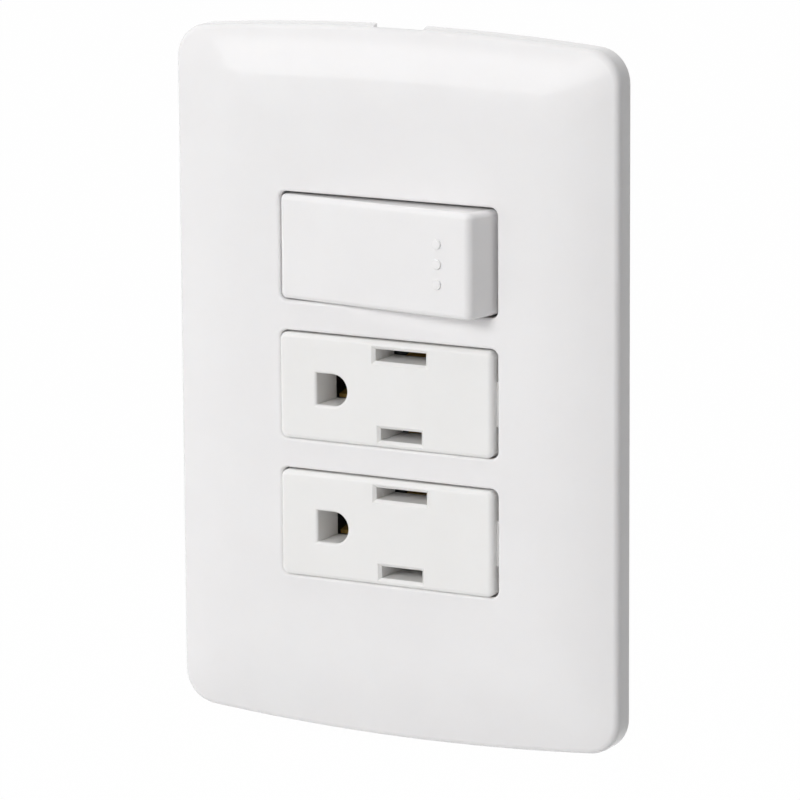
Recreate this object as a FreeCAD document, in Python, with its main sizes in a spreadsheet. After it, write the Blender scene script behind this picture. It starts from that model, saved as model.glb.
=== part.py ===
"""Three-gang wall combination: a rocker switch above two earthed sockets.

X runs right, Z up and Y into the wall, so the front looks along -Y. The origin lies on the wall,
midway between the two holes of the box screws.
"""
import FreeCAD, Part
import math
import os

import Sketcher
from FreeCAD import Placement, Rotation, Vector

# Driving dimensions in millimetres
SIZES = {
    # Cover plate
    "plate_width": 78.8,
    "plate_height": 114.3,
    "edge_bow": 1.9,
    "plate_corner": 5.5,
    "plate_depth": 6.2,
    "plate_wall": 2.0,
    "crown_drop": 2.4,
    "crown_reach": 13.5,
    "field_corner": 4.0,
    "ceiling_drop": 1.2,
    "rim_round": 1.2,
    "notch_x": 0.2,
    "notch_width": 8.85,
    "notch_depth": 3.55,
    "notch_skew": 1.3,
    # Windows of the cover, and how the three modules lie in them
    "window_width": 38.9,
    "window_height": 17.4,
    "window_corner": 1.2,
    "window_round": 0.55,
    "pitch": 22.3,
    "row_drop": 0.7,
    "side_play": 0.15,
    "sag_play": 0.05,
    # Snap hooks of the cover, from the frame's edges
    "hook_side_inset": 11.5,
    "hook_end_inset": 4.9,
    "hook_width": 8.0,
    "hook_thick": 1.3,
    "hook_barb": 0.6,
    "hook_gap": 0.25,
    # Mounting frame, inside the cover's edges
    "frame_side_inset": 3.9,
    "frame_end_inset": 4.65,
    "frame_corner": 4.0,
    "frame_web": 2.4,
    "frame_rim": 1.6,
    "screw_spacing": 83.3,
    "screw_hole": 4.4,
    "screw_sink": 8.6,
    "sink_depth": 0.9,
    "seat_gap": 0.3,
    "fit_gap": 0.15,
    # Outer form that the three modules share, from the window and the pitch
    "module_lip": 1.45,
    "module_gap": 0.25,
    "flange_reach": 0.9,
    "skirt_wall": 1.5,
    "skirt_back": 4.0,
    "base_back": 22.0,
    "base_step": 0.3,
    "base_corner": 1.0,
    "lug_height": 7.2,
    "lug_reach": 1.3,
    "lug_length": 2.2,
    # Socket face
    "face_side_gap": 0.35,
    "face_end_gap": 0.15,
    "face_corner": 1.2,
    "face_proud": 0.8,
    "face_round": 0.8,
    "pad_proud": 0.3,
    "pad_sink": 0.7,
    "slot_x": 2.7,
    "slot_drop": 0.12,
    "blade_spacing": 12.7,
    "earth_offset": 12.15,
    "slot_tall": 1.95,
    "neutral_long": 9.05,
    "line_long": 7.35,
    "slot_lead": 0.5,
    "earth_radius": 2.55,
    "earth_flat": 2.93,
    "slot_deep": 6.6,
    "line_collar": 1.2,
    "face_wall": 2.2,
    # Contact strips, clamps and terminal screws
    "strip": 0.8,
    "leaf": 0.55,
    "strip_back": 13.7,
    "strip_half": 2.6,
    "clip_half": 3.3,
    "blade_gap": 0.6,
    "pin_gap": 1.5,
    "chamber_gap": 0.3,
    "terminal_gap": 2.45,
    "terminal_reach": 3.3,
    "wire_space": 2.5,
    "clamp_thick": 1.2,
    "clamp_half": 2.7,
    "screw_radius": 1.7,
    "head_radius": 2.8,
    "head_height": 2.2,
    "well_half": 3.2,
    # Rocker
    "rocker_end_gap": 1.16,
    "rocker_side_gap": 0.3,
    "rocker_reach": 6.8,
    "rocker_tilt": 7.2,
    "pivot_sink": 4.03,
    "rocker_skirt": 7.8,
    "rocker_wall": 1.7,
    "rocker_round": 1.0,
    "hub_half": 5.0,
    "hub_back": 2.1,
    "trunnion_radius": 1.2,
    "trunnion_reach": 1.7,
    "bearing_gap": 0.06,
    "mark_inset": 5.99,
    "mark_pitch": 3.18,
    "mark_radius": 0.8,
    "mark_height": 0.35,
    "mark_round": 0.12,
    # Switch mechanism
    "stem_radius": 3.0,
    "stem_back": 8.0,
    "bore_radius": 1.7,
    "bore_floor": 3.4,
    "plunger_radius": 1.62,
    "plunger_reach": 11.37,
    "plunger_long": 7.4,
    "spring_radius": 1.15,
    "spring_wire": 0.2,
    "spring_turns": 6.0,
    "lever_pivot": 11.0,
    "lever_half": 9.5,
    "lever_height": 5.0,
    "lever_thick": 0.8,
    "lever_front": 1.7,
    "nose_radius": 0.9,
    "saddle_half": 1.9,
    "contact_x": 8.0,
    "contact_radius": 1.5,
    "contact_high": 0.8,
    "fixed_reach": 0.75,
}

doc = FreeCAD.newDocument("switch_and_sockets")
sheet = doc.addObject("Spreadsheet::Sheet", "sizes")
for row, (alias, length) in enumerate(SIZES.items(), start=1):
    sheet.set(f"A{row}", alias)
    sheet.set(f"B{row}", str(length))
    sheet.setAlias(f"B{row}", alias)
doc.recompute()


class Size:
    """A length with the sheet formula that it comes from."""

    def __init__(self, value, formula):
        self.value = float(value)
        self.formula = formula

    def __float__(self):
        return self.value

    def __add__(self, other):
        other = as_size(other)
        return Size(self.value + other.value, f"({self.formula} + {other.formula})")

    def __sub__(self, other):
        other = as_size(other)
        return Size(self.value - other.value, f"({self.formula} - {other.formula})")

    def __rsub__(self, other):
        return as_size(other) - self

    def __mul__(self, factor):
        factor = as_size(factor)
        return Size(self.value * factor.value, f"({self.formula} * {factor.formula})")

    def __truediv__(self, factor):
        factor = as_size(factor)
        return Size(self.value / factor.value, f"({self.formula} / {factor.formula})")

    def __neg__(self):
        return Size(-self.value, f"(0 - {self.formula})")

    __radd__ = __add__
    __rmul__ = __mul__


def as_size(number):
    return number if isinstance(number, Size) else Size(number, f"{float(number):.6f}")


def size(alias):
    return Size(sheet.get(alias), f"sizes.{alias}")


def bind(thing, path, length):
    """Tie a property of an object to the sheet."""
    thing.setExpression(path, as_size(length).formula)


# Outlines drawn in a sketch: each returns a function that draws and dimensions one closed outline

def fix(sketch, geometry, point, across, up):
    """Dimension a point of the sketch from the sketch's origin."""
    for kind, length, axis in (("DistanceX", across, -2), ("DistanceY", up, -1)):
        if length is None:
            continue
        length = as_size(length)
        if length.value == 0.0:
            sketch.addConstraint(Sketcher.Constraint("PointOnObject", geometry, point, axis))
            continue
        index = sketch.addConstraint(
            Sketcher.Constraint(kind, -1, 1, geometry, point, length.value))
        bind(sketch, f"Constraints[{index}]", length)


def fix_radius(sketch, geometry, radius):
    index = sketch.addConstraint(Sketcher.Constraint("Radius", geometry, float(radius)))
    bind(sketch, f"Constraints[{index}]", radius)


def polygon(*points):
    def draw(sketch):
        first = sketch.GeometryCount
        corners = [Vector(float(x), float(y), 0) for x, y in points]
        count = len(corners)
        for i in range(count):
            sketch.addGeometry(Part.LineSegment(corners[i], corners[(i + 1) % count]), False)
        for i in range(count):
            following = first + (i + 1) % count
            sketch.addConstraint(Sketcher.Constraint("Coincident", first + i, 2, following, 1))
        for i, (x, y) in enumerate(points):
            fix(sketch, first + i, 1, x, y)
    return draw


def rect(left, right, low, high):
    return polygon((left, low), (right, low), (right, high), (left, high))


def box(half_width, half_height):
    return rect(-half_width, half_width, -half_height, half_height)


def circle(x, y, radius):
    def draw(sketch):
        centre = Vector(float(x), float(y), 0)
        index = sketch.addGeometry(Part.Circle(centre, Vector(0, 0, 1), float(radius)), False)
        fix(sketch, index, 3, x, y)
        fix_radius(sketch, index, radius)
    return draw


def arc(centre, radius, start, end):
    whole = Part.Circle(Vector(centre[0], centre[1], 0), Vector(0, 0, 1), radius)
    return Part.ArcOfCircle(whole, start, end)


def join_tangent(sketch, first, count):
    """Join each piece of a closed outline smoothly to the next."""
    for i in range(count):
        following = first + (i + 1) % count
        sketch.addConstraint(Sketcher.Constraint("Tangent", first + i, 2, following, 1))


def rounded_rect(left, right, low, high, radius):
    def draw(sketch):
        first = sketch.GeometryCount
        x0, x1, y0, y1, r = (float(v) for v in (left, right, low, high, radius))
        quarter = math.pi / 2
        pieces = [
            Part.LineSegment(Vector(x0 + r, y0, 0), Vector(x1 - r, y0, 0)),
            arc((x1 - r, y0 + r), r, -quarter, 0),
            Part.LineSegment(Vector(x1, y0 + r, 0), Vector(x1, y1 - r, 0)),
            arc((x1 - r, y1 - r), r, 0, quarter),
            Part.LineSegment(Vector(x1 - r, y1, 0), Vector(x0 + r, y1, 0)),
            arc((x0 + r, y1 - r), r, quarter, 2 * quarter),
            Part.LineSegment(Vector(x0, y1 - r, 0), Vector(x0, y0 + r, 0)),
            arc((x0 + r, y0 + r), r, 2 * quarter, 3 * quarter),
        ]
        sketch.addGeometry(pieces, False)
        join_tangent(sketch, first, len(pieces))
        for side, kind in ((0, "Horizontal"), (2, "Vertical"), (4, "Horizontal"), (6, "Vertical")):
            sketch.addConstraint(Sketcher.Constraint(kind, first + side))
        fix(sketch, first, 1, None, low)
        fix(sketch, first + 2, 1, right, None)
        fix(sketch, first + 4, 1, None, high)
        fix(sketch, first + 6, 1, left, None)
        for corner in (1, 3, 5, 7):
            fix_radius(sketch, first + corner, radius)
    return draw


def bowed_rect(half_width, half_height, bow, corner):
    """Straight sides, top and bottom bowed outward, rounded corners; the bow is over the width."""
    def draw(sketch):
        first = sketch.GeometryCount
        big = (half_width * half_width + bow * bow) / (bow * 2)
        drop = half_height - big
        w, r = float(half_width), float(corner)
        corner_x = w - r
        corner_y = float(drop) + math.sqrt((float(big) - r) ** 2 - corner_x ** 2)
        lean = math.atan2(corner_x, corner_y - float(drop))
        quarter = math.pi / 2
        up = (0.0, float(drop))
        down = (0.0, -float(drop))
        pieces = [
            arc(down, float(big), 3 * quarter - lean, 3 * quarter + lean),
            arc((corner_x, -corner_y), r, lean - quarter, 0),
            Part.LineSegment(Vector(w, -corner_y, 0), Vector(w, corner_y, 0)),
            arc((corner_x, corner_y), r, 0, quarter - lean),
            arc(up, float(big), quarter - lean, quarter + lean),
            arc((-corner_x, corner_y), r, quarter + lean, 2 * quarter),
            Part.LineSegment(Vector(-w, corner_y, 0), Vector(-w, -corner_y, 0)),
            arc((-corner_x, -corner_y), r, 2 * quarter, 3 * quarter - lean),
        ]
        sketch.addGeometry(pieces, False)
        join_tangent(sketch, first, len(pieces))
        for side in (2, 6):
            sketch.addConstraint(Sketcher.Constraint("Vertical", first + side))
        fix(sketch, first, 3, 0, -drop)
        fix(sketch, first + 4, 3, 0, drop)
        fix(sketch, first + 2, 1, half_width, None)
        fix(sketch, first + 6, 1, -half_width, None)
        for end in (0, 4):
            fix_radius(sketch, first + end, big)
        for turn in (1, 3, 5, 7):
            fix_radius(sketch, first + turn, corner)
    return draw


def d_shape(x, y, radius, flat):
    """Half round to the right, and straight to a flat side at the left."""
    def draw(sketch):
        first = sketch.GeometryCount
        cx, cy, r, left = float(x), float(y), float(radius), float(x - flat)
        pieces = [
            arc((cx, cy), r, -math.pi / 2, math.pi / 2),
            Part.LineSegment(Vector(cx, cy + r, 0), Vector(left, cy + r, 0)),
            Part.LineSegment(Vector(left, cy + r, 0), Vector(left, cy - r, 0)),
            Part.LineSegment(Vector(left, cy - r, 0), Vector(cx, cy - r, 0)),
        ]
        sketch.addGeometry(pieces, False)
        sketch.addConstraint(Sketcher.Constraint("Tangent", first, 2, first + 1, 1))
        sketch.addConstraint(Sketcher.Constraint("Coincident", first + 1, 2, first + 2, 1))
        sketch.addConstraint(Sketcher.Constraint("Coincident", first + 2, 2, first + 3, 1))
        sketch.addConstraint(Sketcher.Constraint("Tangent", first + 3, 2, first, 1))
        sketch.addConstraint(Sketcher.Constraint("Horizontal", first + 1))
        sketch.addConstraint(Sketcher.Constraint("Horizontal", first + 3))
        sketch.addConstraint(Sketcher.Constraint("Vertical", first + 2))
        fix(sketch, first, 3, x, y)
        fix(sketch, first + 2, 1, x - flat, None)
        fix_radius(sketch, first, radius)
    return draw


PLANES = {"X": "YZ_Plane", "Y": "XZ_Plane", "Z": "XY_Plane"}


class Piece:
    """One solid of the object, built feature by feature.

    A pad or cut runs along one axis from low to high. Its outline is drawn across the other two
    axes, in alphabetical order.
    """

    def __init__(self, label):
        self.body = doc.addObject("PartDesign::Body", label)
        self.body.Label = label

    def sketch(self, axis, at, outlines):
        role = PLANES[axis]
        plane = next(f for f in self.body.Origin.OriginFeatures if f.Role == role)
        drawing = self.body.newObject("Sketcher::SketchObject", f"{self.body.Name}_outline")
        drawing.AttachmentSupport = (plane, [""])
        drawing.MapMode = "FlatFace"
        # The plane across Y faces the front, so its offset counts towards -Y
        bind(drawing, "AttachmentOffset.Base.z", -at if axis == "Y" else at)
        for draw in outlines:
            draw(drawing)
        return drawing

    def pad(self, axis, low, high, *outlines):
        low, high = as_size(low), as_size(high)
        start = high if axis == "Y" else low
        feature = self.body.newObject("PartDesign::Pad", f"{self.body.Name}_pad")
        feature.Profile = self.sketch(axis, start, outlines)
        bind(feature, "Length", high - low)
        self.body.Tip = feature
        return feature

    def cut(self, axis, low, high, *outlines):
        low, high = as_size(low), as_size(high)
        start = low if axis == "Y" else high
        feature = self.body.newObject("PartDesign::Pocket", f"{self.body.Name}_cut")
        feature.Profile = self.sketch(axis, start, outlines)
        bind(feature, "Length", high - low)
        self.body.Tip = feature
        return feature

    def loft(self, kind, sections, ruled=False):
        """Loft through outlines across Y, given as (y, outline) from the back to the front."""
        drawings = [self.sketch("Y", as_size(at), [outline]) for at, outline in sections]
        feature = self.body.newObject(f"PartDesign::{kind}Loft", f"{self.body.Name}_loft")
        feature.Profile = drawings[0]
        feature.Sections = drawings[1:]
        feature.Ruled = ruled
        self.body.Tip = feature
        return feature

    def turn(self, outline):
        """Turn an outline, drawn across X and Y, about the Y axis."""
        drawing = self.sketch("Z", as_size(0), [outline])
        feature = self.body.newObject("PartDesign::Revolution", f"{self.body.Name}_turn")
        feature.Profile = drawing
        feature.ReferenceAxis = (drawing, ["V_Axis"])
        feature.Angle = 360
        self.body.Tip = feature
        return feature

    def round(self, radius, wanted):
        """Round the edges that the test function picks."""
        doc.recompute()
        base = self.body.Tip
        names = [f"Edge{i}" for i, edge in enumerate(base.Shape.Edges, start=1) if wanted(edge)]
        feature = self.body.newObject("PartDesign::Fillet", f"{self.body.Name}_round")
        feature.Base = (base, names)
        bind(feature, "Radius", radius)
        self.body.Tip = feature
        return feature

    def place(self, x, y, z):
        for letter, length in (("x", x), ("y", y), ("z", z)):
            bind(self.body, f"Placement.Base.{letter}", length)
        return self.body


def near(a, b, slack=0.02):
    return abs(a - float(b)) < slack


def edges_at_y(y, half_x=None, half_z=None):
    """Test for edges that lie wholly at one depth, within a rectangle if one is given."""
    def wanted(edge):
        span = edge.BoundBox
        if not (near(span.YMin, y) and near(span.YMax, y)):
            return False
        if half_x is not None and max(abs(span.XMin), abs(span.XMax)) > float(half_x):
            return False
        return half_z is None or max(abs(span.ZMin), abs(span.ZMax)) < float(half_z)
    return wanted


# Places that several pieces share
plate_front = -size("plate_depth")
plate_inside = plate_front + size("plate_wall")
flange_front = plate_inside + size("seat_gap")
flange_back = -size("frame_web") - size("fit_gap")
row_x = -size("side_play")
half_plate_width = size("plate_width") / 2
half_plate_height = size("plate_height") / 2
half_window_width = size("window_width") / 2
half_window_height = size("window_height") / 2
half_frame_width = half_plate_width - size("frame_side_inset")
half_frame_height = half_plate_height - size("frame_end_inset")
hook_x = half_frame_width - size("hook_side_inset")
hook_z = half_frame_height - size("hook_end_inset")
half_module_width = half_window_width + size("module_lip")
half_module_height = size("pitch") / 2 - size("module_gap")
rocker_half = half_window_width - size("rocker_end_gap")
half_rocker_height = half_window_height - size("rocker_side_gap")
earth_x = size("slot_x") - size("earth_offset")
terminal_x = size("clip_half") + size("terminal_gap") - earth_x
rocker_pivot = plate_front + size("pivot_sink")
strip_front = size("strip_back") - size("strip")
clamp_front = size("strip_back") + size("wire_space")
head_front = clamp_front + size("clamp_thick") + 0.1
head_back = head_front + size("head_height")


def row_z(place):
    """Height of a module's centre: 1 is the switch, 0 and -1 are the sockets."""
    return size("pitch") * place - size("row_drop") - size("sag_play")


def cover_plate():
    """Crowned cover with three windows, snap hooks and a pry notch in the top edge."""
    cover = Piece("cover_plate")
    reach, drop = size("crown_reach"), size("crown_drop")
    rim_front = plate_front + drop

    def section(share):
        """Outline and depth of the crown at a share of its reach in from the edge."""
        inset = reach * share
        corner = size("plate_corner") + (size("field_corner") - size("plate_corner")) * share
        outline = bowed_rect(half_plate_width - inset, half_plate_height - inset,
                             size("edge_bow") * (1 - share * 0.5), corner)
        return plate_front + drop * (1 - share) * (1 - share), outline

    cover.pad("Y", rim_front, 0, section(0)[1])
    cover.loft("Additive", [section(share) for share in (0, 0.25, 0.5, 0.75, 1)])
    cover.round(size("rim_round"), edges_at_y(rim_front))

    wall = size("plate_wall")
    inside_edge = plate_inside + size("ceiling_drop")
    inside = bowed_rect(half_plate_width - wall, half_plate_height - wall, size("edge_bow"),
                        size("plate_corner") - wall)
    field = bowed_rect(half_plate_width - reach, half_plate_height - reach, size("edge_bow"),
                       size("field_corner"))
    cover.cut("Y", inside_edge, 0, inside)
    cover.loft("Subtractive", [(inside_edge, inside), (plate_inside, field)], ruled=True)

    windows = []
    for place in (1, 0, -1):
        middle = size("pitch") * place - size("row_drop")
        windows.append(rounded_rect(-half_window_width, half_window_width,
                                    middle - half_window_height, middle + half_window_height,
                                    size("window_corner")))
    cover.cut("Y", plate_front - 1, plate_inside + 1, *windows)
    cover.round(size("window_round"), edges_at_y(plate_front, half_window_width + 0.1))

    # The ends of the notch run obliquely from the wall forward to the right
    half, depth = size("notch_width") / 2, size("notch_depth")
    lean = size("notch_skew") / depth / 2
    back_x, front_x = size("notch_x") - lean * (depth + 2), size("notch_x") + lean * depth
    cover.cut("Z", half_plate_height - wall - 1, half_plate_height + 1,
              polygon((front_x - half, -depth), (front_x + half, -depth),
                      (back_x + half, 1), (back_x - half, 1)))

    # A hook is an arm down from the plate's inside with a barb that catches under the frame's web
    arm_foot = plate_inside - 0.5
    arm_end = -size("hook_gap")
    barb_front = -size("frame_web") / 2 + size("hook_gap") / 2
    for side in (1, -1):
        inner = hook_z * side
        outer = inner + size("hook_thick") * side
        tip = outer + size("hook_barb") * side
        hook = polygon((arm_foot, inner), (arm_foot, outer), (barb_front, outer), (barb_front, tip),
                       (arm_end - 0.2, tip), (arm_end, outer), (arm_end, inner))
        for x in (-hook_x, hook_x):
            half = size("hook_width") / 2
            cover.pad("X", x - half, x + half, hook)
    return cover.body


def mounting_frame():
    """Moulded frame behind the cover: box screw holes, hook slots and the modules' opening."""
    frame = Piece("mounting_frame")
    half_width, half_height = half_frame_width, half_frame_height
    rim, corner, web = size("frame_rim"), size("frame_corner"), size("frame_web")
    row_middle = -size("row_drop")
    outer = rounded_rect(-half_width, half_width, -half_height, half_height, corner)
    inner = rounded_rect(rim - half_width, half_width - rim, rim - half_height, half_height - rim,
                         corner - rim)
    frame.pad("Y", -web, 0, outer)
    frame.pad("Y", plate_inside + size("ceiling_drop") + 0.1, -web, outer, inner)

    opening_half_width = half_module_width + size("seat_gap")
    opening_half_height = size("pitch") + half_module_height + size("seat_gap")
    frame.cut("Y", -web - 1, 1, rect(-opening_half_width, opening_half_width,
                                     row_middle - opening_half_height,
                                     row_middle + opening_half_height))

    half_spacing = size("screw_spacing") / 2
    screw_holes = [circle(0, half_spacing * side, size("screw_hole") / 2) for side in (1, -1)]
    sinks = [circle(0, half_spacing * side, size("screw_sink") / 2) for side in (1, -1)]
    frame.cut("Y", -web - 1, 1, *screw_holes)
    frame.cut("Y", -web - 1, -web + size("sink_depth"), *sinks)

    # Each hook drops through a slot, and its barb lies under the ledge at the slot's outer side
    gap = size("hook_gap")
    for z_side in (1, -1):
        slots, ledges = [], []
        for x_side in (1, -1):
            x = hook_x * x_side
            half = size("hook_width") / 2 + gap
            inner_z = (hook_z - gap) * z_side
            neck_z = (hook_z + size("hook_thick") + gap) * z_side
            barb_z = neck_z + size("hook_barb") * z_side
            slots.append(rect(x - half, x + half, inner_z, neck_z))
            ledges.append(rect(x - half, x + half, inner_z, barb_z))
        frame.cut("Y", -web - 1, 1, *slots)
        frame.cut("Y", -web / 2, 1, *ledges)

    # Cored-out pockets in the back of the two bars, as in any moulding of even wall
    core_low = opening_half_height + 2.2
    core_high = half_height - 2.2
    cores = []
    for z_side in (1, -1):
        for x_side in (1, -1):
            near_x, far_x = 7.5 * x_side, (hook_x - size("hook_width") / 2 - 2) * x_side
            cores.append(rect(near_x, far_x, core_low * z_side, core_high * z_side))
    frame.cut("Y", -web / 2, 1, *cores)
    return frame.body


def module_shell(piece):
    """Flange, skirt and snap lugs that every module's front moulding has."""
    flange_half = half_module_width + size("flange_reach")
    piece.pad("Y", flange_front, flange_back, box(flange_half, half_module_height))
    piece.pad("Y", flange_back, size("skirt_back"), box(half_module_width, half_module_height))
    lug_half = size("lug_height") / 2
    lug_front, lug_back = as_size(size("fit_gap")), size("fit_gap") + size("lug_length")
    for side in (1, -1):
        root = (half_module_width - 0.5) * side
        tip = (half_module_width + size("lug_reach")) * side
        heel = half_module_width * side
        wedge = polygon((root, lug_front), (tip, lug_front), (tip, lug_front + 0.6),
                        (heel, lug_back), (root, lug_back))
        piece.pad("Z", -lug_half, lug_half, wedge)


def slot_outline(name, grown=0):
    """Outline of one opening of a socket; a slot can be grown evenly all round."""
    x, drop = size("slot_x"), size("slot_drop")
    if name == "earth":
        return d_shape(earth_x, -drop, size("earth_radius"), size("earth_flat"))
    half_tall = size("slot_tall") / 2 + grown
    half_long = size(f"{name}_long") / 2 + grown
    z = size("blade_spacing") / 2 * (1 if name == "neutral" else -1) - drop
    return rect(x - half_long, x + half_long, z - half_tall, z + half_tall)


def socket_face(label):
    """Front moulding of a socket: slotted face block, flange, skirt and snap lugs."""
    face = Piece(label)
    module_shell(face)
    half_width = half_window_width - size("face_side_gap")
    half_height = half_window_height - size("face_end_gap")
    face_front = plate_front - size("face_proud")
    well_back = face_front + size("slot_deep")
    face.pad("Y", face_front, flange_front,
             rounded_rect(-half_width, half_width, -half_height, half_height,
                          size("face_corner")))
    face.round(size("face_round"), edges_at_y(face_front))
    pad_half = size("lug_height") / 2
    face.pad("Y", plate_front + size("pad_sink"), flange_front,
             rect(half_width - 0.5, half_width + size("pad_proud"), -pad_half, pad_half))

    # Hollow behind the slots' wells, then cored between them
    inner_half_width = half_module_width - size("skirt_wall")
    inner_half_height = half_module_height - size("skirt_wall")
    face.cut("Y", well_back, size("skirt_back") + 1, box(inner_half_width, inner_half_height))
    core_front = face_front + size("face_wall")
    wall = 1.4
    slot_x, half_spacing = size("slot_x"), size("blade_spacing") / 2
    core_half_height = half_spacing - size("slot_tall") / 2 - size("slot_drop") - wall
    earth_right = earth_x + size("earth_radius") + wall
    earth_left = earth_x - size("earth_flat") - wall
    slot_right = slot_x + size("neutral_long") / 2 + wall
    block_half = half_width - size("face_wall")
    face.cut("Y", core_front, well_back + 1,
             rect(earth_right, slot_right, -core_half_height, core_half_height))
    face.cut("Y", core_front, well_back + 1,
             rect(slot_right + wall, block_half, -core_half_height - 2, core_half_height + 2),
             rect(-block_half, earth_left, -core_half_height - 2, core_half_height + 2))

    # Collar that makes the line slot's well deeper than the other two
    half_tall, half_long = size("slot_tall") / 2 + wall, size("line_long") / 2 + wall
    line_z = -half_spacing - size("slot_drop")
    face.pad("Y", well_back - 0.5, well_back + size("line_collar"),
             rect(slot_x - half_long, slot_x + half_long, line_z - half_tall, line_z + half_tall))

    names = ("neutral", "line", "earth")
    face.cut("Y", face_front - 1, well_back + size("line_collar") + 1,
             *[slot_outline(name) for name in names])
    # Lead-ins: round at the earth hole, bevelled at the slots
    lead = size("slot_lead")
    face.round(lead, edges_at_y(face_front, half_width - 1,
                                size("earth_radius") + size("slot_drop") + 0.1))
    for name in names[:2]:
        face.loft("Subtractive", [(face_front + lead, slot_outline(name)),
                                  (face_front, slot_outline(name, lead))], ruled=True)
    return face


def terminal_wells(base, sides):
    """Terminal wells at the back, each open to one side, for (side, z) pairs."""
    back = size("base_back")
    ledge = size("strip_back") + size("strip")
    start = terminal_x - size("well_half")
    for side, z in sides:
        near_x, far_x = start * side, (half_module_width + 1) * side
        narrow, wide = size("strip_half") - 0.4, size("well_half")
        base.cut("Y", size("strip_back"), back + 1, rect(near_x, far_x, z - narrow, z + narrow))
        base.cut("Y", ledge, back + 1, rect(near_x, far_x, z - wide, z + wide))


def base_block(label):
    """Block behind a module's skirt, before it is hollowed."""
    base = Piece(label)
    half_width = half_module_width - size("base_step")
    half_height = half_module_height - size("base_step")
    base.pad("Y", size("skirt_back"), size("base_back"),
             rounded_rect(-half_width, half_width, -half_height, half_height,
                          size("base_corner")))
    base.round(0.5, edges_at_y(size("base_back")))
    return base


# Contacts of a socket: name, side of the terminal, x and z of the clip, half gap of the leaves
def socket_contacts():
    x, half_spacing, drop = size("slot_x"), size("blade_spacing") / 2, size("slot_drop")
    return (
        ("line", 1, x, -half_spacing - drop, size("blade_gap")),
        ("neutral", 1, x, half_spacing - drop, size("blade_gap")),
        ("earth", -1, earth_x, -drop, size("pin_gap")),
    )


def socket_base(label):
    """Rear housing of a socket, with one chamber for each contact and its terminal well."""
    base = base_block(label)
    gap = size("chamber_gap")
    spigot_half_width = half_module_width - size("skirt_wall") - size("fit_gap")
    spigot_half_height = half_module_height - size("skirt_wall") - size("fit_gap")
    base.pad("Y", size("skirt_back") - 3, size("skirt_back"),
             box(spigot_half_width, spigot_half_height))
    half = size("strip_half") + gap
    chambers = []
    for _, side, x, z, _ in socket_contacts():
        near_x = x - (size("clip_half") + gap) * side
        far_x = (terminal_x + size("terminal_reach") + gap) * side
        chambers.append(rect(near_x, far_x, z - half, z + half))
    base.cut("Y", 0, size("strip_back"), *chambers)
    # Core between the line and neutral chambers
    core_half = size("blade_spacing") / 2 - half - 1.4
    base.cut("Y", 0, size("base_back") - 3,
             rect(size("slot_x") - 2, terminal_x + 2, -core_half - size("slot_drop"),
                  core_half - size("slot_drop")))
    terminal_wells(base, [(side, z) for _, side, _, z, _ in socket_contacts()])
    return base


def socket_contact(label, side, x, z, gap):
    """Contact strip: a flat strip to the terminal, with two leaves that grip a blade or pin."""
    contact = Piece(label)
    half, leaf = size("strip_half"), size("leaf")
    back, front = size("strip_back"), strip_front
    near_x = x - size("clip_half") * side
    far_x = (terminal_x + size("terminal_reach")) * side
    contact.pad("Y", front, back, rect(near_x, far_x, z - half, z + half))
    lip = plate_front - size("face_proud") + size("slot_deep") + size("line_collar") + 0.4
    # Inner line of a leaf, from its root on the strip to the flared lip
    line = ((front + 0.1, half - leaf), (front - 2.5, half - leaf), (lip + 4.6, gap),
            (lip + 3.2, gap), (lip, gap + 0.7))
    for way in (1, -1):
        inner = [(y, z + across * way) for y, across in line]
        outer = [(y, z + (across + leaf) * way) for y, across in reversed(line)]
        contact.pad("X", x - size("clip_half"), x + size("clip_half"), polygon(*inner, *outer))
    contact.cut("Y", front - 1, back + 1,
                circle(terminal_x * side, z, size("screw_radius") + 0.05))
    return contact


def terminal_screw(label):
    """Terminal screw with a crossed slot, its axis along Y through the origin."""
    screw = Piece(label)
    shank, head = size("screw_radius"), size("head_radius")
    screw.turn(polygon((0, strip_front - 2), (shank - 0.3, strip_front - 2),
                       (shank, strip_front - 1.7), (shank, head_front), (head, head_front),
                       (head, head_back - 0.5), (head - 0.5, head_back), (0, head_back)))
    long, short, wide = head - 0.6, size("screw_radius"), as_size(0.4)
    cross = polygon((-long, -wide), (-wide, -wide), (-wide, -short), (wide, -short), (wide, -wide),
                    (long, -wide), (long, wide), (wide, wide), (wide, short), (-wide, short),
                    (-wide, wide), (-long, wide))
    screw.cut("Y", head_back - 1.2, head_back + 1, cross)
    return screw


def clamp_plate(label):
    """Square wire clamp under a terminal screw's head, with two lips that keep the wire in."""
    clamp = Piece(label)
    half = size("clamp_half")
    clamp.pad("Y", clamp_front, clamp_front + size("clamp_thick"), box(half, half))
    clamp.pad("Y", clamp_front - 0.7, clamp_front, rect(-half, half, half - 0.6, half),
              rect(-half, half, -half, 0.6 - half))
    clamp.cut("Y", clamp_front - 1, clamp_front + size("clamp_thick") + 1,
              circle(0, 0, size("screw_radius") + 0.2))
    return clamp


def group(label, members):
    """Several like solids that share one node."""
    together = doc.addObject("Part::Compound", label)
    together.Label = label
    together.Links = members
    return together


def terminals(prefix, place, spots):
    """Screws and clamp plates of a module's terminals, at (side, z) spots."""
    screws, clamps = [], []
    for number, (side, z) in enumerate(spots, start=1):
        at = (row_x + terminal_x * side, 0, row_z(place) + z)
        screws.append(terminal_screw(f"{prefix}_screw_{number}").place(*at))
        clamps.append(clamp_plate(f"{prefix}_clamp_{number}").place(*at))
    return [group(f"{prefix}_terminal_screws", screws), group(f"{prefix}_clamp_plates", clamps)]


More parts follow.
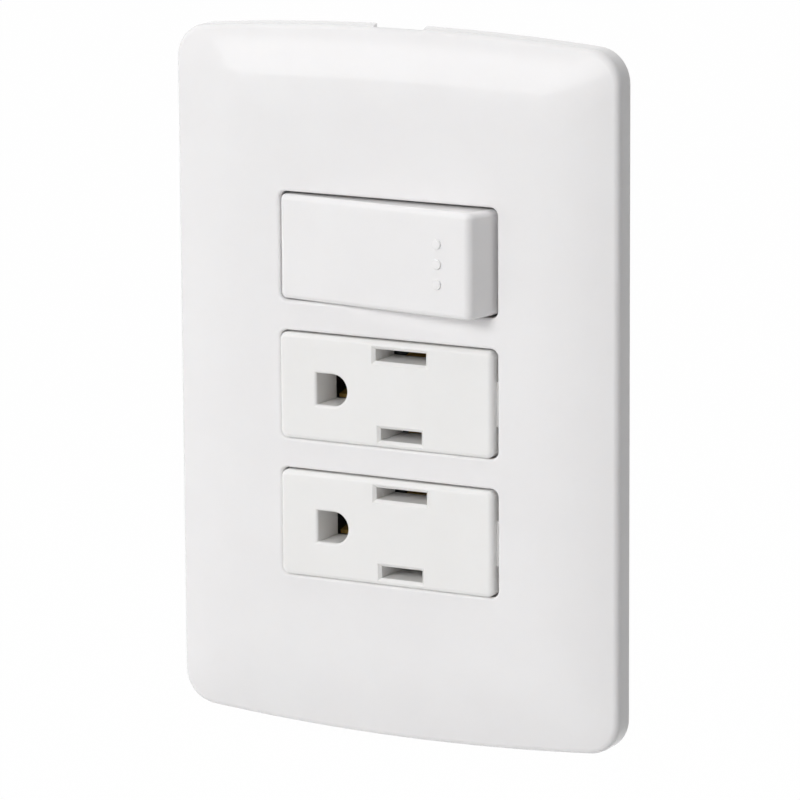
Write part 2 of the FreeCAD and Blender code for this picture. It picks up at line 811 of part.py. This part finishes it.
def socket(name, place):
    """All the pieces of one socket."""
    at = (row_x, 0, row_z(place))
    nodes = [socket_face(f"{name}_face").place(*at), socket_base(f"{name}_base").place(*at)]
    for contact, side, x, z, gap in socket_contacts():
        piece = socket_contact(f"{name}_{contact}_contact", side, x, z, gap)
        nodes.append(piece.place(*at))
    spots = [(side, z) for _, side, _, z, _ in socket_contacts()]
    return nodes + terminals(name, place, spots)


def switch_carrier():
    """Front moulding of the switch: open frame with the rocker's two bearings."""
    carrier = Piece("switch_carrier")
    module_shell(carrier)
    half_width = half_module_width - 1.35
    half_height = half_rocker_height + 0.4
    carrier.cut("Y", flange_front - 1, size("skirt_back") + 1, box(half_width, half_height))
    bearing_half = half_height + size("trunnion_reach")
    carrier.cut("Z", -bearing_half, bearing_half,
                circle(0, rocker_pivot, size("trunnion_radius") + size("bearing_gap")))
    return carrier.body


def rocker_key():
    """Rocker: hollow key with trunnions, a bored stem and three raised marks.

    It is drawn about its own pivot with its face level, and turned to its rest tilt.
    """
    rocker = Piece("rocker_key")
    half, reach = rocker_half, size("rocker_reach")
    half_height, wall = half_rocker_height, size("rocker_wall")
    skirt = size("rocker_skirt") - reach
    hub, hub_back = size("hub_half"), size("hub_back")
    outside = polygon((-half, -reach), (half, -reach), (half, skirt), (hub, hub_back),
                      (-hub, hub_back), (-half, skirt))
    rocker.pad("Z", -half_height, half_height, outside)
    rocker.round(size("rocker_round"),
                 lambda edge: edge.BoundBox.YMax < float(skirt) + 0.01
                 and edge.BoundBox.YMin < -float(reach) + 0.01)
    rocker.cut("Y", wall - reach, hub_back + 1, box(half - wall, half_height - wall))
    rocker.pad("Y", wall - reach - 0.1, size("stem_back"), circle(0, 0, size("stem_radius")))
    rocker.cut("Y", -size("bore_floor"), size("stem_back") + 1, circle(0, 0, size("bore_radius")))
    axle = circle(0, 0, size("trunnion_radius"))
    end = half_height + size("trunnion_reach")
    for low, high in ((half_height - 0.5, end), (-end, 0.5 - half_height)):
        rocker.pad("Z", low, high, axle)
    marks = [circle(half - size("mark_inset"), size("mark_pitch") * step, size("mark_radius"))
             for step in (1, 0, -1)]
    mark_front = -reach - size("mark_height")
    rocker.pad("Y", mark_front, 0.5 - reach, *marks)
    rocker.round(size("mark_round"), edges_at_y(mark_front))
    return tilt(rocker)


def tilt(piece):
    """Set a piece that is drawn about the rocker's pivot to the rocker's rest tilt."""
    body = piece.place(row_x, rocker_pivot, row_z(1))
    body.setExpression("Placement.Rotation.Angle", "0 - sizes.rocker_tilt")
    body.Placement.Rotation = Rotation(Vector(0, 0, 1), -float(size("rocker_tilt")))
    return body


def rocker_plunger():
    """Plunger that slides in the rocker's stem and rides on the contact lever."""
    plunger = Piece("rocker_plunger")
    radius, tip = size("plunger_radius"), size("plunger_reach")
    head = tip - size("plunger_long")
    neck = as_size(0.9)
    plunger.turn(polygon((0, head), (radius, head), (radius, tip - 1.4), (radius - 0.5, tip - 0.5),
                         (neck, tip - 0.1), (neck / 2, tip), (0, tip)))
    return tilt(plunger)


def plunger_spring():
    """Coil spring between the bore's floor and the plunger's head."""
    spring = Piece("plunger_spring")
    wire, radius = size("spring_wire"), size("spring_radius")
    low = wire + 0.05 - size("bore_floor")
    height = size("plunger_reach") - size("plunger_long") - wire - 0.05 - low
    drawing = spring.sketch("Z", as_size(0), [circle(radius, low, wire)])
    coil = spring.body.newObject("PartDesign::AdditiveHelix", "plunger_spring_coil")
    coil.Profile = drawing
    coil.ReferenceAxis = (drawing, ["V_Axis"])
    coil.Mode = "height-turns-angle"
    bind(coil, "Height", height)
    bind(coil, "Turns", size("spring_turns"))
    spring.body.Tip = coil
    return tilt(spring)


def contact_lever():
    """Rocking lever: flat strip with a round nose that sits in the common terminal's saddle."""
    lever = Piece("contact_lever")
    half, front, nose = size("lever_half"), -size("lever_front"), size("nose_radius")
    half_height = size("lever_height") / 2
    back = front + size("lever_thick")
    lever.pad("Z", -half_height, half_height,
              polygon((-half, front), (half, front), (half, back), (nose, back), (nose, 0),
                      (-nose, 0), (-nose, back), (-half, back)))
    lever.pad("Z", -half_height, half_height, circle(0, 0, nose))
    return swing(lever)


def swing(piece):
    """Set a piece that is drawn about the lever's pivot to the lever's rest tilt."""
    body = piece.place(row_x, size("lever_pivot"), row_z(1))
    body.Placement.Rotation = Rotation(Vector(0, 0, 1), float(size("rocker_tilt")))
    return body


def lever_contact():
    """Contact button on the back of the lever's left arm."""
    button = Piece("lever_contact")
    back = size("lever_thick") - size("lever_front")
    button.pad("Y", back, back + size("contact_high"),
               circle(-size("contact_x"), 0, size("contact_radius")))
    button.round(0.3, edges_at_y(back + size("contact_high")))
    return swing(button)


def fixed_contact():
    """Contact button on the front of the switched terminal."""
    button = Piece("fixed_contact")
    front = strip_front - size("fixed_reach")
    button.pad("Y", front, strip_front, circle(-size("contact_x"), 0, size("contact_radius")))
    return button.place(row_x, 0, row_z(1))


def switch_terminal(label, side, near_x):
    """Flat strip from the mechanism to a terminal screw."""
    strip = Piece(label)
    half, far = size("strip_half"), terminal_x + size("terminal_reach")
    strip.pad("Y", strip_front, size("strip_back"), rect(near_x * side, far * side, -half, half))
    strip.cut("Y", strip_front - 1, size("strip_back") + 1,
              circle(terminal_x * side, 0, size("screw_radius") + 0.05))
    return strip


def common_terminal():
    """Strip with the saddle that the lever's nose rocks in."""
    strip = switch_terminal("common_terminal", 1, -size("saddle_half"))
    half_height = size("lever_height") / 2
    saddle = rect(-size("saddle_half"), size("saddle_half"), size("lever_pivot") + 0.4,
                  strip_front)
    strip.pad("Z", -half_height, half_height, saddle)
    strip.cut("Z", -half_height - 1, half_height + 1,
              circle(0, size("lever_pivot"), size("nose_radius") + 0.05))
    return strip.place(row_x, 0, row_z(1))


def switch_base():
    """Rear housing of the switch: lever chamber, seats of the terminals and their wells."""
    base = base_block("switch_base")
    gap = size("chamber_gap")
    half = size("strip_half") + gap
    lever_room = size("lever_half") + 1.2
    strip_room = terminal_x + size("terminal_reach") + gap
    base.cut("Y", 0, size("strip_back"), box(strip_room, half))
    base.cut("Y", 0, strip_front, box(lever_room, size("stem_radius") + 0.8))
    terminal_wells(base, [(1, as_size(0)), (-1, as_size(0))])
    return base.place(row_x, 0, row_z(1))


def switch():
    """All the pieces of the switch."""
    at = (row_x, 0, row_z(1))
    carrier = switch_carrier()
    for letter, length in zip("xyz", at):
        bind(carrier, f"Placement.Base.{letter}", length)
    switched = switch_terminal("switched_terminal", -1, size("contact_x") - 2.2).place(*at)
    nodes = [carrier, switch_base(), rocker_key(), rocker_plunger(), plunger_spring(),
             contact_lever(), lever_contact(), fixed_contact(), switched, common_terminal()]
    return nodes + terminals("switch", 1, [(1, as_size(0)), (-1, as_size(0))])


nodes = [cover_plate(), mounting_frame()]
nodes += switch()
nodes += socket("socket_1", 0)
nodes += socket("socket_2", -1)
doc.recompute()

failed = [item.Name for item in doc.Objects if {"Invalid", "Error"} & set(item.State)]
if failed:
    raise RuntimeError(f"features failed: {failed}")
for node in nodes:
    if node.Shape.isNull() or not node.Shape.isValid() or not node.Shape.Solids:
        raise RuntimeError(f"{node.Label} has no valid solid")

os.makedirs("parts", exist_ok=True)
for node in nodes:
    node.Shape.exportStep(os.path.join("parts", f"{node.Label}.step"))
    print(f"{node.Label}: {len(node.Shape.Solids)} solids, {node.Shape.Volume:.1f} mm3")
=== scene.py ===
"""Looks of the switch and socket combination: materials, key ends, spring, light and camera."""

import math

import bmesh
import bpy
from mathutils import Matrix, Vector


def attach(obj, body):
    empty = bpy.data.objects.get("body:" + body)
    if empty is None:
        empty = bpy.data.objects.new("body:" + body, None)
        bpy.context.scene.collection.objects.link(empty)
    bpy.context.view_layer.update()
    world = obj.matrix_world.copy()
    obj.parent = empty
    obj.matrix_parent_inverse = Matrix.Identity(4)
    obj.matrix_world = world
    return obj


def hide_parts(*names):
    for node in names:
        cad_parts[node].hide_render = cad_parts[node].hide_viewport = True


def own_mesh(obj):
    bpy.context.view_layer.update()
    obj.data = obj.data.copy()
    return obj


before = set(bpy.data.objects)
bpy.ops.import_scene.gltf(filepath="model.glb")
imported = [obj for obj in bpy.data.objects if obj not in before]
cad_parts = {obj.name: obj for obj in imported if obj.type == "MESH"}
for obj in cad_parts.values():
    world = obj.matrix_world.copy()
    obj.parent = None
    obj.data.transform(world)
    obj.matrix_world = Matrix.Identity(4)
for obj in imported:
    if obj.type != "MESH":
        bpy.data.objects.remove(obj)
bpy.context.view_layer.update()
MM = 0.001


# Materials, each worked out by nodes in object space

class Surface:
    """A node material built up in steps."""

    def __init__(self, name):
        self.material = bpy.data.materials.new(name)
        self.material.use_nodes = True
        self.tree = self.material.node_tree
        self.shader = self.tree.nodes["Principled BSDF"]
        self.place = self.node("ShaderNodeTexCoord").outputs["Object"]

    def node(self, kind, **values):
        made = self.tree.nodes.new(kind)
        for key, value in values.items():
            setattr(made, key, value)
        return made

    def link(self, source, target):
        self.tree.links.new(source, target)

    def set(self, **values):
        for key, value in values.items():
            self.shader.inputs[key.replace("_", " ")].default_value = value
        return self

    def stretched(self, scale):
        mapping = self.node("ShaderNodeMapping")
        mapping.inputs["Scale"].default_value = scale
        self.link(self.place, mapping.inputs["Vector"])
        return mapping.outputs["Vector"]

    def noise(self, scale, detail=3.0, stretch=None):
        noise = self.node("ShaderNodeTexNoise")
        noise.inputs["Scale"].default_value = scale
        noise.inputs["Detail"].default_value = detail
        source = self.place if stretch is None else self.stretched(stretch)
        self.link(source, noise.inputs["Vector"])
        return noise.outputs["Fac"]

    def ramp(self, source, low, high, dark, light):
        """Colour between two tones as the source runs from low to high."""
        ramp = self.node("ShaderNodeValToRGB")
        ramp.color_ramp.elements[0].position = low
        ramp.color_ramp.elements[1].position = high
        ramp.color_ramp.elements[0].color = (*dark, 1)
        ramp.color_ramp.elements[1].color = (*light, 1)
        self.link(source, ramp.inputs["Fac"])
        return ramp.outputs["Color"]

    def span(self, source, low, high, start, end):
        """Number between start and end as the source runs from low to high."""
        span = self.node("ShaderNodeMapRange")
        for key, value in (("From Min", low), ("From Max", high), ("To Min", start),
                           ("To Max", end)):
            span.inputs[key].default_value = value
        self.link(source, span.inputs["Value"])
        return span.outputs["Result"]

    def bump(self, source, strength, distance):
        bump = self.node("ShaderNodeBump")
        bump.inputs["Strength"].default_value = strength
        bump.inputs["Distance"].default_value = distance
        last = self.shader.inputs["Normal"]
        if last.is_linked:
            self.link(last.links[0].from_socket, bump.inputs["Normal"])
        self.link(source, bump.inputs["Height"])
        self.link(bump.outputs["Normal"], last)


def tinted(colour, share):
    return tuple(min(1.0, channel * share) for channel in colour)


def moulded(name, colour, roughness, grain=0.02, variation=0.012, glow=0.0):
    """Injection-moulded plastic: faint cloudiness, a fine grain and a slight ripple of sinks."""
    plastic = Surface(name)
    plastic.set(IOR=1.49, Subsurface_Weight=glow, Subsurface_Scale=0.001,
                Subsurface_Radius=(1.0, 0.95, 0.9))
    clouds = plastic.noise(70.0, 4.0)
    colours = plastic.ramp(clouds, 0.3, 0.7, tinted(colour, 1 - variation),
                           tinted(colour, 1 + variation))
    plastic.link(colours, plastic.shader.inputs["Base Color"])
    haze = plastic.noise(420.0, 3.0)
    rough = plastic.span(haze, 0.3, 0.7, roughness * 0.9, roughness * 1.12)
    plastic.link(rough, plastic.shader.inputs["Roughness"])
    plastic.bump(plastic.noise(2600.0, 2.0), grain, 0.00003)
    plastic.bump(plastic.noise(55.0, 1.0), grain * 1.5, 0.0004)
    return plastic.material


def sheet_metal(name, dark, light, roughness, along=(1, 1, 1), bare=1.0):
    """Rolled and plated metal: drawn lines, cloudy tarnish and small scratches."""
    metal = Surface(name)
    metal.set(Metallic=bare)
    clouds = metal.noise(240.0, 5.0)
    metal.link(metal.ramp(clouds, 0.32, 0.68, dark, light), metal.shader.inputs["Base Color"])
    lines = metal.noise(900.0, 2.0, along)
    rough = metal.span(lines, 0.3, 0.7, roughness * 0.75, roughness * 1.3)
    metal.link(rough, metal.shader.inputs["Roughness"])
    metal.bump(lines, 0.12, 0.00002)
    metal.bump(metal.noise(1500.0, 4.0), 0.05, 0.00002)
    return metal.material


def finish(node, material):
    """Give a CAD node its material."""
    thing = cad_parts[node]
    thing.data.materials.clear()
    thing.data.materials.append(material)


WHITE = (0.92, 0.908, 0.911)
cover_white = moulded("cover_white_look", WHITE, 0.09, glow=0.3)
# The key's white is a shade darker than the cover's: painted shade that offsets the key being turned
# towards the lamps.
key_white_shaded = moulded("key_white_look", (0.918, 0.907, 0.909), 0.1, glow=0.3)
socket_white = moulded("socket_white_look", (0.928, 0.918, 0.906), 0.1, glow=0.3)
carrier_white = moulded("carrier_white_look", (0.78, 0.775, 0.765), 0.35, grain=0.06)
frame_grey = moulded("frame_grey_look", (0.36, 0.365, 0.37), 0.5, grain=0.12, variation=0.03)
housing_grey = moulded("housing_grey_look", (0.1, 0.104, 0.11), 0.45, grain=0.12, variation=0.05)
natural = moulded("plunger_natural_look", (0.68, 0.66, 0.58), 0.4, grain=0.05, variation=0.02)
brass = sheet_metal("contact_brass_look", (0.6, 0.38, 0.09), (0.74, 0.5, 0.15), 0.36, (1, 18, 18),
                    bare=0.6)
lever_brass = sheet_metal("lever_brass_look", (0.6, 0.4, 0.15), (0.72, 0.5, 0.22), 0.28,
                          (1, 18, 18))
silver = sheet_metal("contact_silver_look", (0.72, 0.72, 0.7), (0.86, 0.86, 0.84), 0.3)
zinc = sheet_metal("screw_zinc_look", (0.5, 0.5, 0.48), (0.68, 0.68, 0.66), 0.3)
clamp_zinc = sheet_metal("clamp_zinc_look", (0.44, 0.44, 0.42), (0.6, 0.6, 0.58), 0.36,
                         (1, 12, 12))
steel = sheet_metal("spring_steel_look", (0.34, 0.34, 0.35), (0.5, 0.5, 0.52), 0.3)

LOOKS = {
    "cover_plate": cover_white,
    "mounting_frame": frame_grey,
    "switch_carrier": carrier_white,
    "switch_base": housing_grey,
    "rocker_key": key_white_shaded,
    "rocker_plunger": natural,
    "plunger_spring": steel,
    "contact_lever": lever_brass,
    "lever_contact": silver,
    "fixed_contact": silver,
    "switched_terminal": brass,
    "common_terminal": brass,
    "switch_terminal_screws": zinc,
    "switch_clamp_plates": clamp_zinc,
}
for number in (1, 2):
    socket = f"socket_{number}"
    LOOKS[f"{socket}_face"] = socket_white
    LOOKS[f"{socket}_base"] = housing_grey
    for contact in ("line", "neutral", "earth"):
        LOOKS[f"{socket}_{contact}_contact"] = brass
    LOOKS[f"{socket}_terminal_screws"] = zinc
    LOOKS[f"{socket}_clamp_plates"] = clamp_zinc
for node, material in LOOKS.items():
    finish(node, material)


# Rocker key with ends that flare towards the housing, as the real moulding's do

KEY_HALF = 18.29
KEY_REACH = 6.8
KEY_TILT = 7.2
FLARE = 1.0
FLARE_LONG = 5.0
FLARE_WALL = 1.5
LAYER = 0.4
LAYERS = 20
SHARP_EDGE = math.radians(32)
MERGE_DISTANCE = 1e-7
FACE_WEIGHT = 90


def flared(x, y):
    """Where x of an end wall goes at a depth y behind the pivot's plane, in mm; inner walls stay."""
    share = min(max((abs(x) - KEY_HALF + FLARE_WALL) / FLARE_WALL, 0.0), 1.0)
    depth = min(max((y + KEY_REACH) / FLARE_LONG, 0.0), 1.0)
    return x + math.copysign(FLARE * depth * share * share * (3 - 2 * share), x)


PIVOT = Vector((-0.15, -2.17, 21.55)) * MM
levelled = Matrix.Rotation(math.radians(KEY_TILT), 4, "Z") @ Matrix.Translation(-PIVOT)


def key_moulding():
    """Copy of the key cut into layers, with the end walls moved outward behind its front face."""
    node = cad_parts["rocker_key"]
    work = bmesh.new()
    work.from_mesh(node.data)
    work.transform(levelled)
    bmesh.ops.remove_doubles(work, verts=work.verts, dist=MERGE_DISTANCE)
    for layer in range(1, LAYERS):
        depth = (LAYER * layer - KEY_REACH) * MM
        bmesh.ops.bisect_plane(work, geom=work.verts[:] + work.edges[:] + work.faces[:],
                               plane_co=(0, depth, 0), plane_no=(0, 1, 0))
    for vertex in work.verts:
        vertex.co.x = flared(vertex.co.x / MM, vertex.co.y / MM) * MM
    work.transform(levelled.inverted())
    mesh = bpy.data.meshes.new("key_moulding")
    work.to_mesh(mesh)
    work.free()
    for name in ("custom_normal", "sharp_face", "sharp_edge"):
        if name in mesh.attributes:
            mesh.attributes.remove(mesh.attributes[name])
    mesh.shade_smooth()
    mesh.set_sharp_from_angle(angle=SHARP_EDGE)
    mesh.materials.clear()
    mesh.materials.append(key_white_shaded)
    piece = bpy.data.objects.new("key_moulding", mesh)
    bpy.context.scene.collection.objects.link(piece)
    evening = piece.modifiers.new("evening", "WEIGHTED_NORMAL")
    evening.keep_sharp = True
    evening.weight = FACE_WEIGHT
    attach(piece, "rocker")
    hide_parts("rocker_key")


# Spring between the key and the plunger: a copy of the node's mesh, carried with the key


def coil_spring():
    """Copy of the node's spring, hung on the rocker body."""
    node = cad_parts["plunger_spring"]
    piece = bpy.data.objects.new("coil_spring", node.data.copy())
    piece.matrix_world = node.matrix_world.copy()
    bpy.context.scene.collection.objects.link(piece)
    piece.data.materials.clear()
    piece.data.materials.append(steel)
    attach(piece, "rocker")
    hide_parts("plunger_spring")
    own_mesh(piece)


key_moulding()
coil_spring()


# Floor: pale, and plain white where the camera, a reflection or a refraction sees it

def seen_directly(tree):
    """1 for camera, glossy and transmission rays."""
    path = tree.nodes.new("ShaderNodeLightPath")
    total = path.outputs["Is Camera Ray"]
    for name in ("Is Glossy Ray", "Is Transmission Ray"):
        add = tree.nodes.new("ShaderNodeMath")
        add.operation = "MAXIMUM"
        tree.links.new(total, add.inputs[0])
        tree.links.new(path.outputs[name], add.inputs[1])
        total = add.outputs[0]
    return total


FLOOR_HALF = 6.0
FLOOR_HEIGHT = -0.5
FLOOR_WHITE = 0.993


def floor():
    mesh = bpy.data.meshes.new("floor")
    corners = [(-FLOOR_HALF, -FLOOR_HALF, FLOOR_HEIGHT), (FLOOR_HALF, -FLOOR_HALF, FLOOR_HEIGHT),
               (FLOOR_HALF, FLOOR_HALF, FLOOR_HEIGHT), (-FLOOR_HALF, FLOOR_HALF, FLOOR_HEIGHT)]
    mesh.from_pydata(corners, [], [(0, 1, 2, 3)])
    plane = bpy.data.objects.new("floor", mesh)
    bpy.context.scene.collection.objects.link(plane)
    material = bpy.data.materials.new("floor_look")
    material.use_nodes = True
    tree = material.node_tree
    diffuse = tree.nodes["Principled BSDF"]
    diffuse.inputs["Base Color"].default_value = (0.8, 0.8, 0.8, 1)
    diffuse.inputs["Roughness"].default_value = 0.9
    white = tree.nodes.new("ShaderNodeEmission")
    mix = tree.nodes.new("ShaderNodeMixShader")
    share = tree.nodes.new("ShaderNodeMath")
    share.operation = "MULTIPLY"
    share.inputs[1].default_value = FLOOR_WHITE
    tree.links.new(seen_directly(tree), share.inputs[0])
    tree.links.new(share.outputs[0], mix.inputs["Fac"])
    tree.links.new(diffuse.outputs[0], mix.inputs[1])
    tree.links.new(white.outputs[0], mix.inputs[2])
    tree.links.new(mix.outputs[0], tree.nodes["Material Output"].inputs["Surface"])
    mesh.materials.append(material)


def surroundings(strength):
    """White where it is seen directly, and a soft even light of a lower level elsewhere."""
    world = bpy.data.worlds.new("surroundings")
    world.use_nodes = True
    bpy.context.scene.world = world
    tree = world.node_tree
    light = tree.nodes["Background"]
    light.inputs["Color"].default_value = (1, 1, 1, 1)
    light.inputs["Strength"].default_value = strength
    white = tree.nodes.new("ShaderNodeBackground")
    white.inputs["Color"].default_value = (1, 1, 1, 1)
    white.inputs["Strength"].default_value = 1.0
    mix = tree.nodes.new("ShaderNodeMixShader")
    tree.links.new(seen_directly(tree), mix.inputs["Fac"])
    tree.links.new(light.outputs[0], mix.inputs[1])
    tree.links.new(white.outputs[0], mix.inputs[2])
    tree.links.new(mix.outputs[0], tree.nodes["World Output"].inputs["Surface"])


def aim(azimuth, elevation):
    """Direction from the object towards a place round it."""
    a, e = math.radians(azimuth), math.radians(elevation)
    return Vector((math.sin(a) * math.cos(e), -math.cos(a) * math.cos(e), math.sin(e)))


def softbox(name, azimuth, elevation, distance, width, height, radiance, mirrored=False):
    """Rectangular lamp that faces the object; radiance 1 looks as bright as the white floor.

    Only a mirrored lamp shows as a highlight; the others light like a bright wall.
    """
    lamp = bpy.data.lights.new(name, "AREA")
    lamp.shape = "RECTANGLE"
    lamp.size, lamp.size_y = width, height
    lamp.energy = radiance * width * height * math.pi
    box = bpy.data.objects.new(name, lamp)
    away = aim(azimuth, elevation)
    box.location = away * distance
    box.rotation_euler = away.to_track_quat("Z", "Y").to_euler()
    box.visible_glossy = mirrored
    box.visible_camera = False
    bpy.context.scene.collection.objects.link(box)


SENSOR = 36.0
FOCAL_PIXELS = 5401.2
FRAME_PIXELS = 800.0
CAMERA_TARGET = Vector((2.195, -6.2, -1.459)) * MM
CAMERA_AZIMUTH = 28.758
CAMERA_ELEVATION = 11.394
CAMERA_ROLL = math.radians(-0.363)
CAMERA_DISTANCE = 0.8498


def camera():
    """Camera solved from the window corners and the outline in the photograph."""
    data = bpy.data.cameras.new("camera")
    data.sensor_width = SENSOR
    data.lens = FOCAL_PIXELS * SENSOR / FRAME_PIXELS
    data.clip_end = 50.0
    view = bpy.data.objects.new("camera", data)
    back = aim(CAMERA_AZIMUTH, CAMERA_ELEVATION)
    right = Vector((0, 0, 1)).cross(back).normalized()
    up = back.cross(right)
    across = right * math.cos(CAMERA_ROLL) + up * math.sin(CAMERA_ROLL)
    upward = up * math.cos(CAMERA_ROLL) - right * math.sin(CAMERA_ROLL)
    turn = Matrix((across, upward, back)).transposed().to_4x4()
    view.matrix_world = Matrix.Translation(CAMERA_TARGET + back * CAMERA_DISTANCE) @ turn
    bpy.context.scene.collection.objects.link(view)
    bpy.context.scene.camera = view


floor()
surroundings(0.175)
softbox("softbox_high", -10, 15.5, 2.0, 1.87, 0.53, 1.62, mirrored=True)
softbox("softbox_key", -14, 26, 2.0, 0.9, 0.55, 10.7)
softbox("softbox_left", -60, -5, 2.0, 1.86, 1.5, 0.6)
softbox("softbox_top", 0, 85, 2.0, 1.5, 1.5, 2.0)
softbox("softbox_back", 200, 25, 2.0, 2.2, 1.8, 0.8)
camera()
bpy.context.scene.view_settings.view_transform = "Standard"
